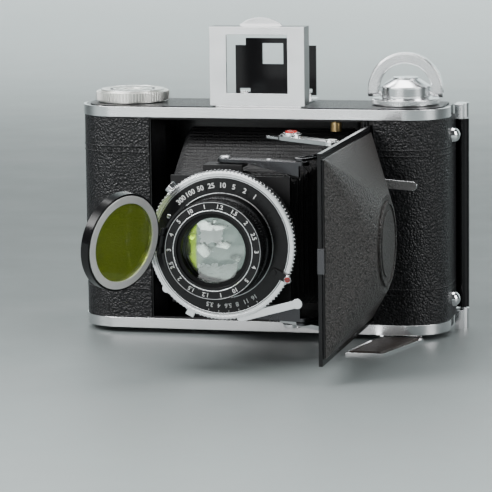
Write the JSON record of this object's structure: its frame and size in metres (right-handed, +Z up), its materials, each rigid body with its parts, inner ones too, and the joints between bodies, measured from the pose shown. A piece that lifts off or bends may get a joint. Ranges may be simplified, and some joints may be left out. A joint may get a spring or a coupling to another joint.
{
  "type": "folding camera",
  "caption": "Folding roll-film camera, open: leather-covered body with chrome rims, side-hinged door, bellows, leaf shutter, swing-aside green filter, pop-up finder, winding knob and foot.",
  "frame": {"origin": "mouth of the tripod socket in the middle of the base plate", "axes": "+X to the right seen from the front, along the body; +Y towards the back; +Z up"},
  "size_m": [0.134, 0.1263, 0.108],
  "materials": {
    "enamel": "gloss",
    "satin_chrome": "satin",
    "steel": "satin",
    "brass": "worn",
    "leather": "pebbled",
    "door_leather": "pebbled",
    "foot_leather": "pebbled",
    "bellows_leather": "matte",
    "black_alloy": "matte",
    "red_plastic": "gloss",
    "dark_plastic": "matte",
    "paper": "matte",
    "lens_glass": "polished",
    "filter_glass": "polished"
  },
  "bodies": {
    "body": {"body_shell": "enamel", "chrome_rims": "satin_chrome", "top_leather": "leather", "left_leather": "leather", "right_leather": "leather", "base_leather": "leather", "film_gate_frame": "enamel", "back_hinge_lugs": "satin_chrome", "back_hinge_pin": "steel", "door_hinge_pin": "steel", "tripod_socket": "steel", "strap_studs": "satin_chrome", "brass_roller": "brass", "finder_base": "satin_chrome", "bellows": "bellows_leather", "foot_hinge": "satin_chrome"},
    "spool_pin": {"spool_retainer": "satin_chrome"},
    "back": {"back_cover": "enamel", "back_leather": "leather", "pressure_plate": "enamel"},
    "window_slide": {"window_cover": "dark_plastic"},
    "latch": {"back_latch": "brass"},
    "door": {"door_panel": "enamel", "door_leather": "door_leather", "door_disc": "door_leather", "door_brackets": "enamel", "door_catch": "steel"},
    "trigger": {"release_lever": "satin_chrome"},
    "stay_pair": {"stays": "satin_chrome"},
    "button": {"fold_button": "red_plastic"},
    "link_pair": {"side_links": "enamel"},
    "strut_pair": {"struts": "enamel"},
    "standard": {"front_standard": "enamel", "shutter_housing": "enamel", "shutter_face": "enamel", "cable_socket": "satin_chrome", "shutter_blades": "steel", "lens_barrels": "black_alloy", "rear_element": "lens_glass"},
    "speed": {"speed_ring": "satin_chrome"},
    "aperture": {"aperture_lever": "satin_chrome"},
    "cocking": {"cocking_lever": "satin_chrome"},
    "timer": {"self_timer_lever": "satin_chrome"},
    "focus": {"focus_ring": "satin_chrome", "name_ring": "enamel", "front_element": "lens_glass"},
    "clip": {"filter_clip": "enamel"},
    "filter": {"filter_ring": "enamel", "filter_retainer": "satin_chrome", "filter_glass": "filter_glass"},
    "finder_front": {"finder_front_frame": "satin_chrome"},
    "finder_rear": {"finder_rear_plate": "satin_chrome"},
    "knob": {"wind_knob": "satin_chrome", "take_up_spool": "dark_plastic"},
    "bail": {"wind_bail": "satin_chrome"},
    "supply": {"supply_spool": "dark_plastic", "film_roll": "paper"},
    "dial": {"film_dial": "satin_chrome"},
    "foot": {"foot_plate": "satin_chrome", "foot_leather": "foot_leather"}
  },
  "joints": [
    {"name": "door_hinge", "type": "hinge", "parent": "body", "child": "door", "pos_m": [0.0372, -0.0162, 0.0375], "axis": [0, 0, -1], "range_deg": [0, 90], "deforming": ["bellows"]},
    {"name": "standard_slide", "type": "slide", "parent": "body", "child": "standard", "axis": [0, 1, 0], "range_m": [0, 0.0541]},
    {"name": "stay_turn", "type": "hinge", "parent": "door", "child": "stay_pair", "pos_m": [0.0312, -0.0416, 0.068], "axis": [0, 0, 1], "range_deg": [0, 126.7]},
    {"name": "link_turn", "type": "hinge", "parent": "door", "child": "link_pair", "pos_m": [0.034, -0.03, 0.064], "axis": [0, 0, 1], "range_deg": [0, 23.7]},
    {"name": "strut_turn", "type": "hinge", "parent": "standard", "child": "strut_pair", "pos_m": [-0.003, -0.048, 0.0626], "axis": [0, 0, -1], "range_deg": [0, 5.1]},
    {"name": "filter_take_off", "type": "slide", "parent": "standard", "child": "clip", "axis": [-0.5171, -0.7977, -0.3102], "range_m": [0, 0.0678]},
    {"name": "filter_hinge", "type": "hinge", "parent": "clip", "child": "filter", "pos_m": [-0.01674, -0.0784, 0.03995], "axis": [0.1736, 0, 0.9848], "range_deg": [0, 118]},
    {"name": "finder_front_fold", "type": "hinge", "parent": "body", "child": "finder_front", "pos_m": [0, -0.0085, 0.0782], "axis": [-1, 0, 0], "range_deg": [0, 90]},
    {"name": "finder_rear_fold", "type": "hinge", "parent": "body", "child": "finder_rear", "pos_m": [0, 0.014, 0.0782], "axis": [1, 0, 0], "range_deg": [0, 90]},
    {"name": "knob_turn", "type": "hinge", "parent": "body", "child": "knob", "pos_m": [0.048, 0.001, 0.078], "axis": [0, 0, -1], "continuous": true},
    {"name": "bail_fold", "type": "hinge", "parent": "knob", "child": "bail", "pos_m": [0.048, 0.001, 0.0804], "axis": [1, 0, 0], "range_deg": [0, 80]},
    {"name": "dial_turn", "type": "hinge", "parent": "body", "child": "dial", "pos_m": [-0.048, 0.001, 0.078], "axis": [0, 0, 1], "continuous": true},
    {"name": "supply_turn", "type": "hinge", "parent": "body", "child": "supply", "pos_m": [-0.048, 0.001, 0.038], "axis": [0, 0, -1], "continuous": true},
    {"name": "back_hinge", "type": "hinge", "parent": "body", "child": "back", "pos_m": [0.0655, 0.013, 0.038], "axis": [0, 0, -1], "range_deg": [0, 110]},
    {"name": "latch_slide", "type": "slide", "parent": "back", "child": "latch", "axis": [0, 0, 1], "range_m": [0, 0.003]},
    {"name": "window_cover_slide", "type": "slide", "parent": "back", "child": "window_slide", "axis": [1, 0, 0], "range_m": [0, 0.012]},
    {"name": "spool_pin_pull", "type": "slide", "parent": "body", "child": "spool_pin", "axis": [0, 0, -1], "range_m": [0, 0.006]},
    {"name": "release_press", "type": "hinge", "parent": "door", "child": "trigger", "pos_m": [0.0446, -0.0239, 0.0527], "axis": [0, 1, 0], "range_deg": [0, 8], "stiffness_Nm_per_rad": 0.02},
    {"name": "button_press", "type": "slide", "parent": "stay_pair", "child": "button", "axis": [0, 0, -1], "range_m": [0, 0.0008], "stiffness_N_per_m": 60},
    {"name": "speed_turn", "type": "hinge", "parent": "standard", "child": "speed", "pos_m": [0, -0.064, 0.037], "axis": [0, 1, 0], "range_deg": [0, 100]},
    {"name": "aperture_turn", "type": "hinge", "parent": "standard", "child": "aperture", "pos_m": [0, -0.0586, 0.037], "axis": [0, -1, 0], "range_deg": [0, 40]},
    {"name": "cocking_turn", "type": "hinge", "parent": "standard", "child": "cocking", "pos_m": [0, -0.061, 0.037], "axis": [0, 1, 0], "range_deg": [0, 16]},
    {"name": "timer_turn", "type": "hinge", "parent": "standard", "child": "timer", "pos_m": [0.0174, -0.067, 0.02889], "axis": [0, 1, 0], "range_deg": [0, 50]},
    {"name": "focus_turn", "type": "hinge", "parent": "standard", "child": "focus", "pos_m": [0, -0.072, 0.037], "axis": [0, 1, 0], "range_deg": [0, 270]},
    {"name": "foot_fold", "type": "hinge", "parent": "body", "child": "foot", "pos_m": [0.049, -0.0145, -0.00105], "axis": [1, 0, 0], "range_deg": [0, 178]}
  ],
  "couplings": [
    {"joint": "standard_slide", "follows": "door_hinge", "m_per_rad": 0.034377},
    {"joint": "stay_turn", "follows": "door_hinge", "ratio": 1.4056},
    {"joint": "link_turn", "follows": "door_hinge", "ratio": 0.2622},
    {"joint": "strut_turn", "follows": "door_hinge", "ratio": 0.0556},
    {"joint": "filter_take_off", "follows": "door_hinge", "m_per_rad": 0.043093},
    {"joint": "finder_rear_fold", "follows": "finder_front_fold", "ratio": 1}
  ]
}
